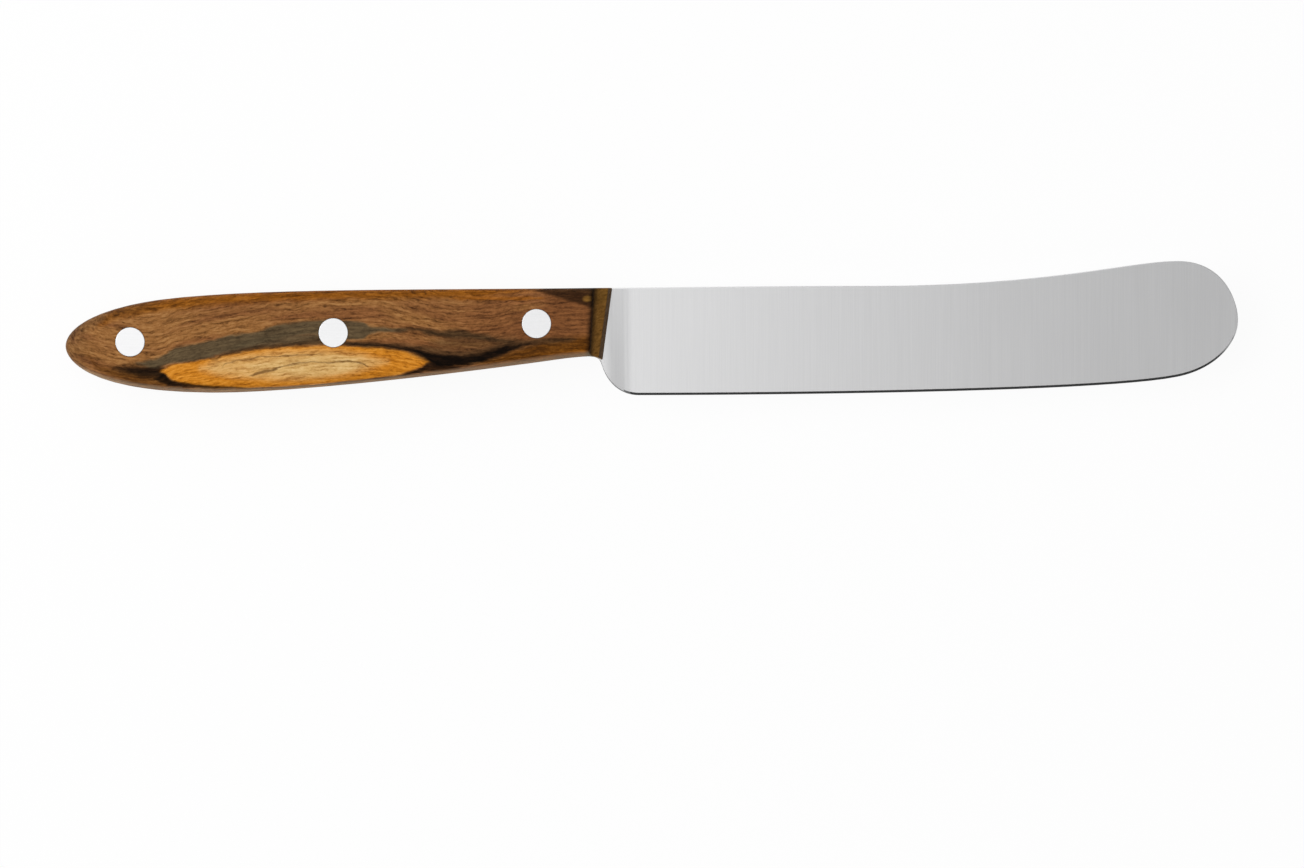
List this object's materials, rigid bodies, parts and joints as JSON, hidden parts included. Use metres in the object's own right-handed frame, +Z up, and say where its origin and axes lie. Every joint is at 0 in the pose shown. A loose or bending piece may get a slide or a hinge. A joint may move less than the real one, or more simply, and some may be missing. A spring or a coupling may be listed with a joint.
{
  "type": "table knife",
  "caption": "Table knife with a broad, round-tipped steel blade on a full tang, and a drop-shaped handle of wooden scales held by flush rivets.",
  "frame": {"origin": "middle of the knife's box, on the surface that the rear scale lies on", "axes": "+X from the butt of the handle to the tip of the blade, +Y towards the spine, +Z up through the front scale"},
  "size_m": [0.221, 0.0252, 0.0114],
  "materials": {
    "blade_steel": "satin, ground across the blade",
    "front_wood": "oiled, brown with dark streaks and a pale lens of sapwood",
    "rear_wood": "oiled, brown with dark streaks",
    "rivet_metal": "ground flush with the wood"
  },
  "bodies": {
    "root": {"blade": "blade_steel", "front_scale": "front_wood", "rear_scale": "rear_wood", "butt_sleeve": "rivet_metal", "middle_sleeve": "rivet_metal", "shoulder_sleeve": "rivet_metal", "butt_stud": "rivet_metal", "middle_stud": "rivet_metal", "shoulder_stud": "rivet_metal"}
  },
  "joints": []
}
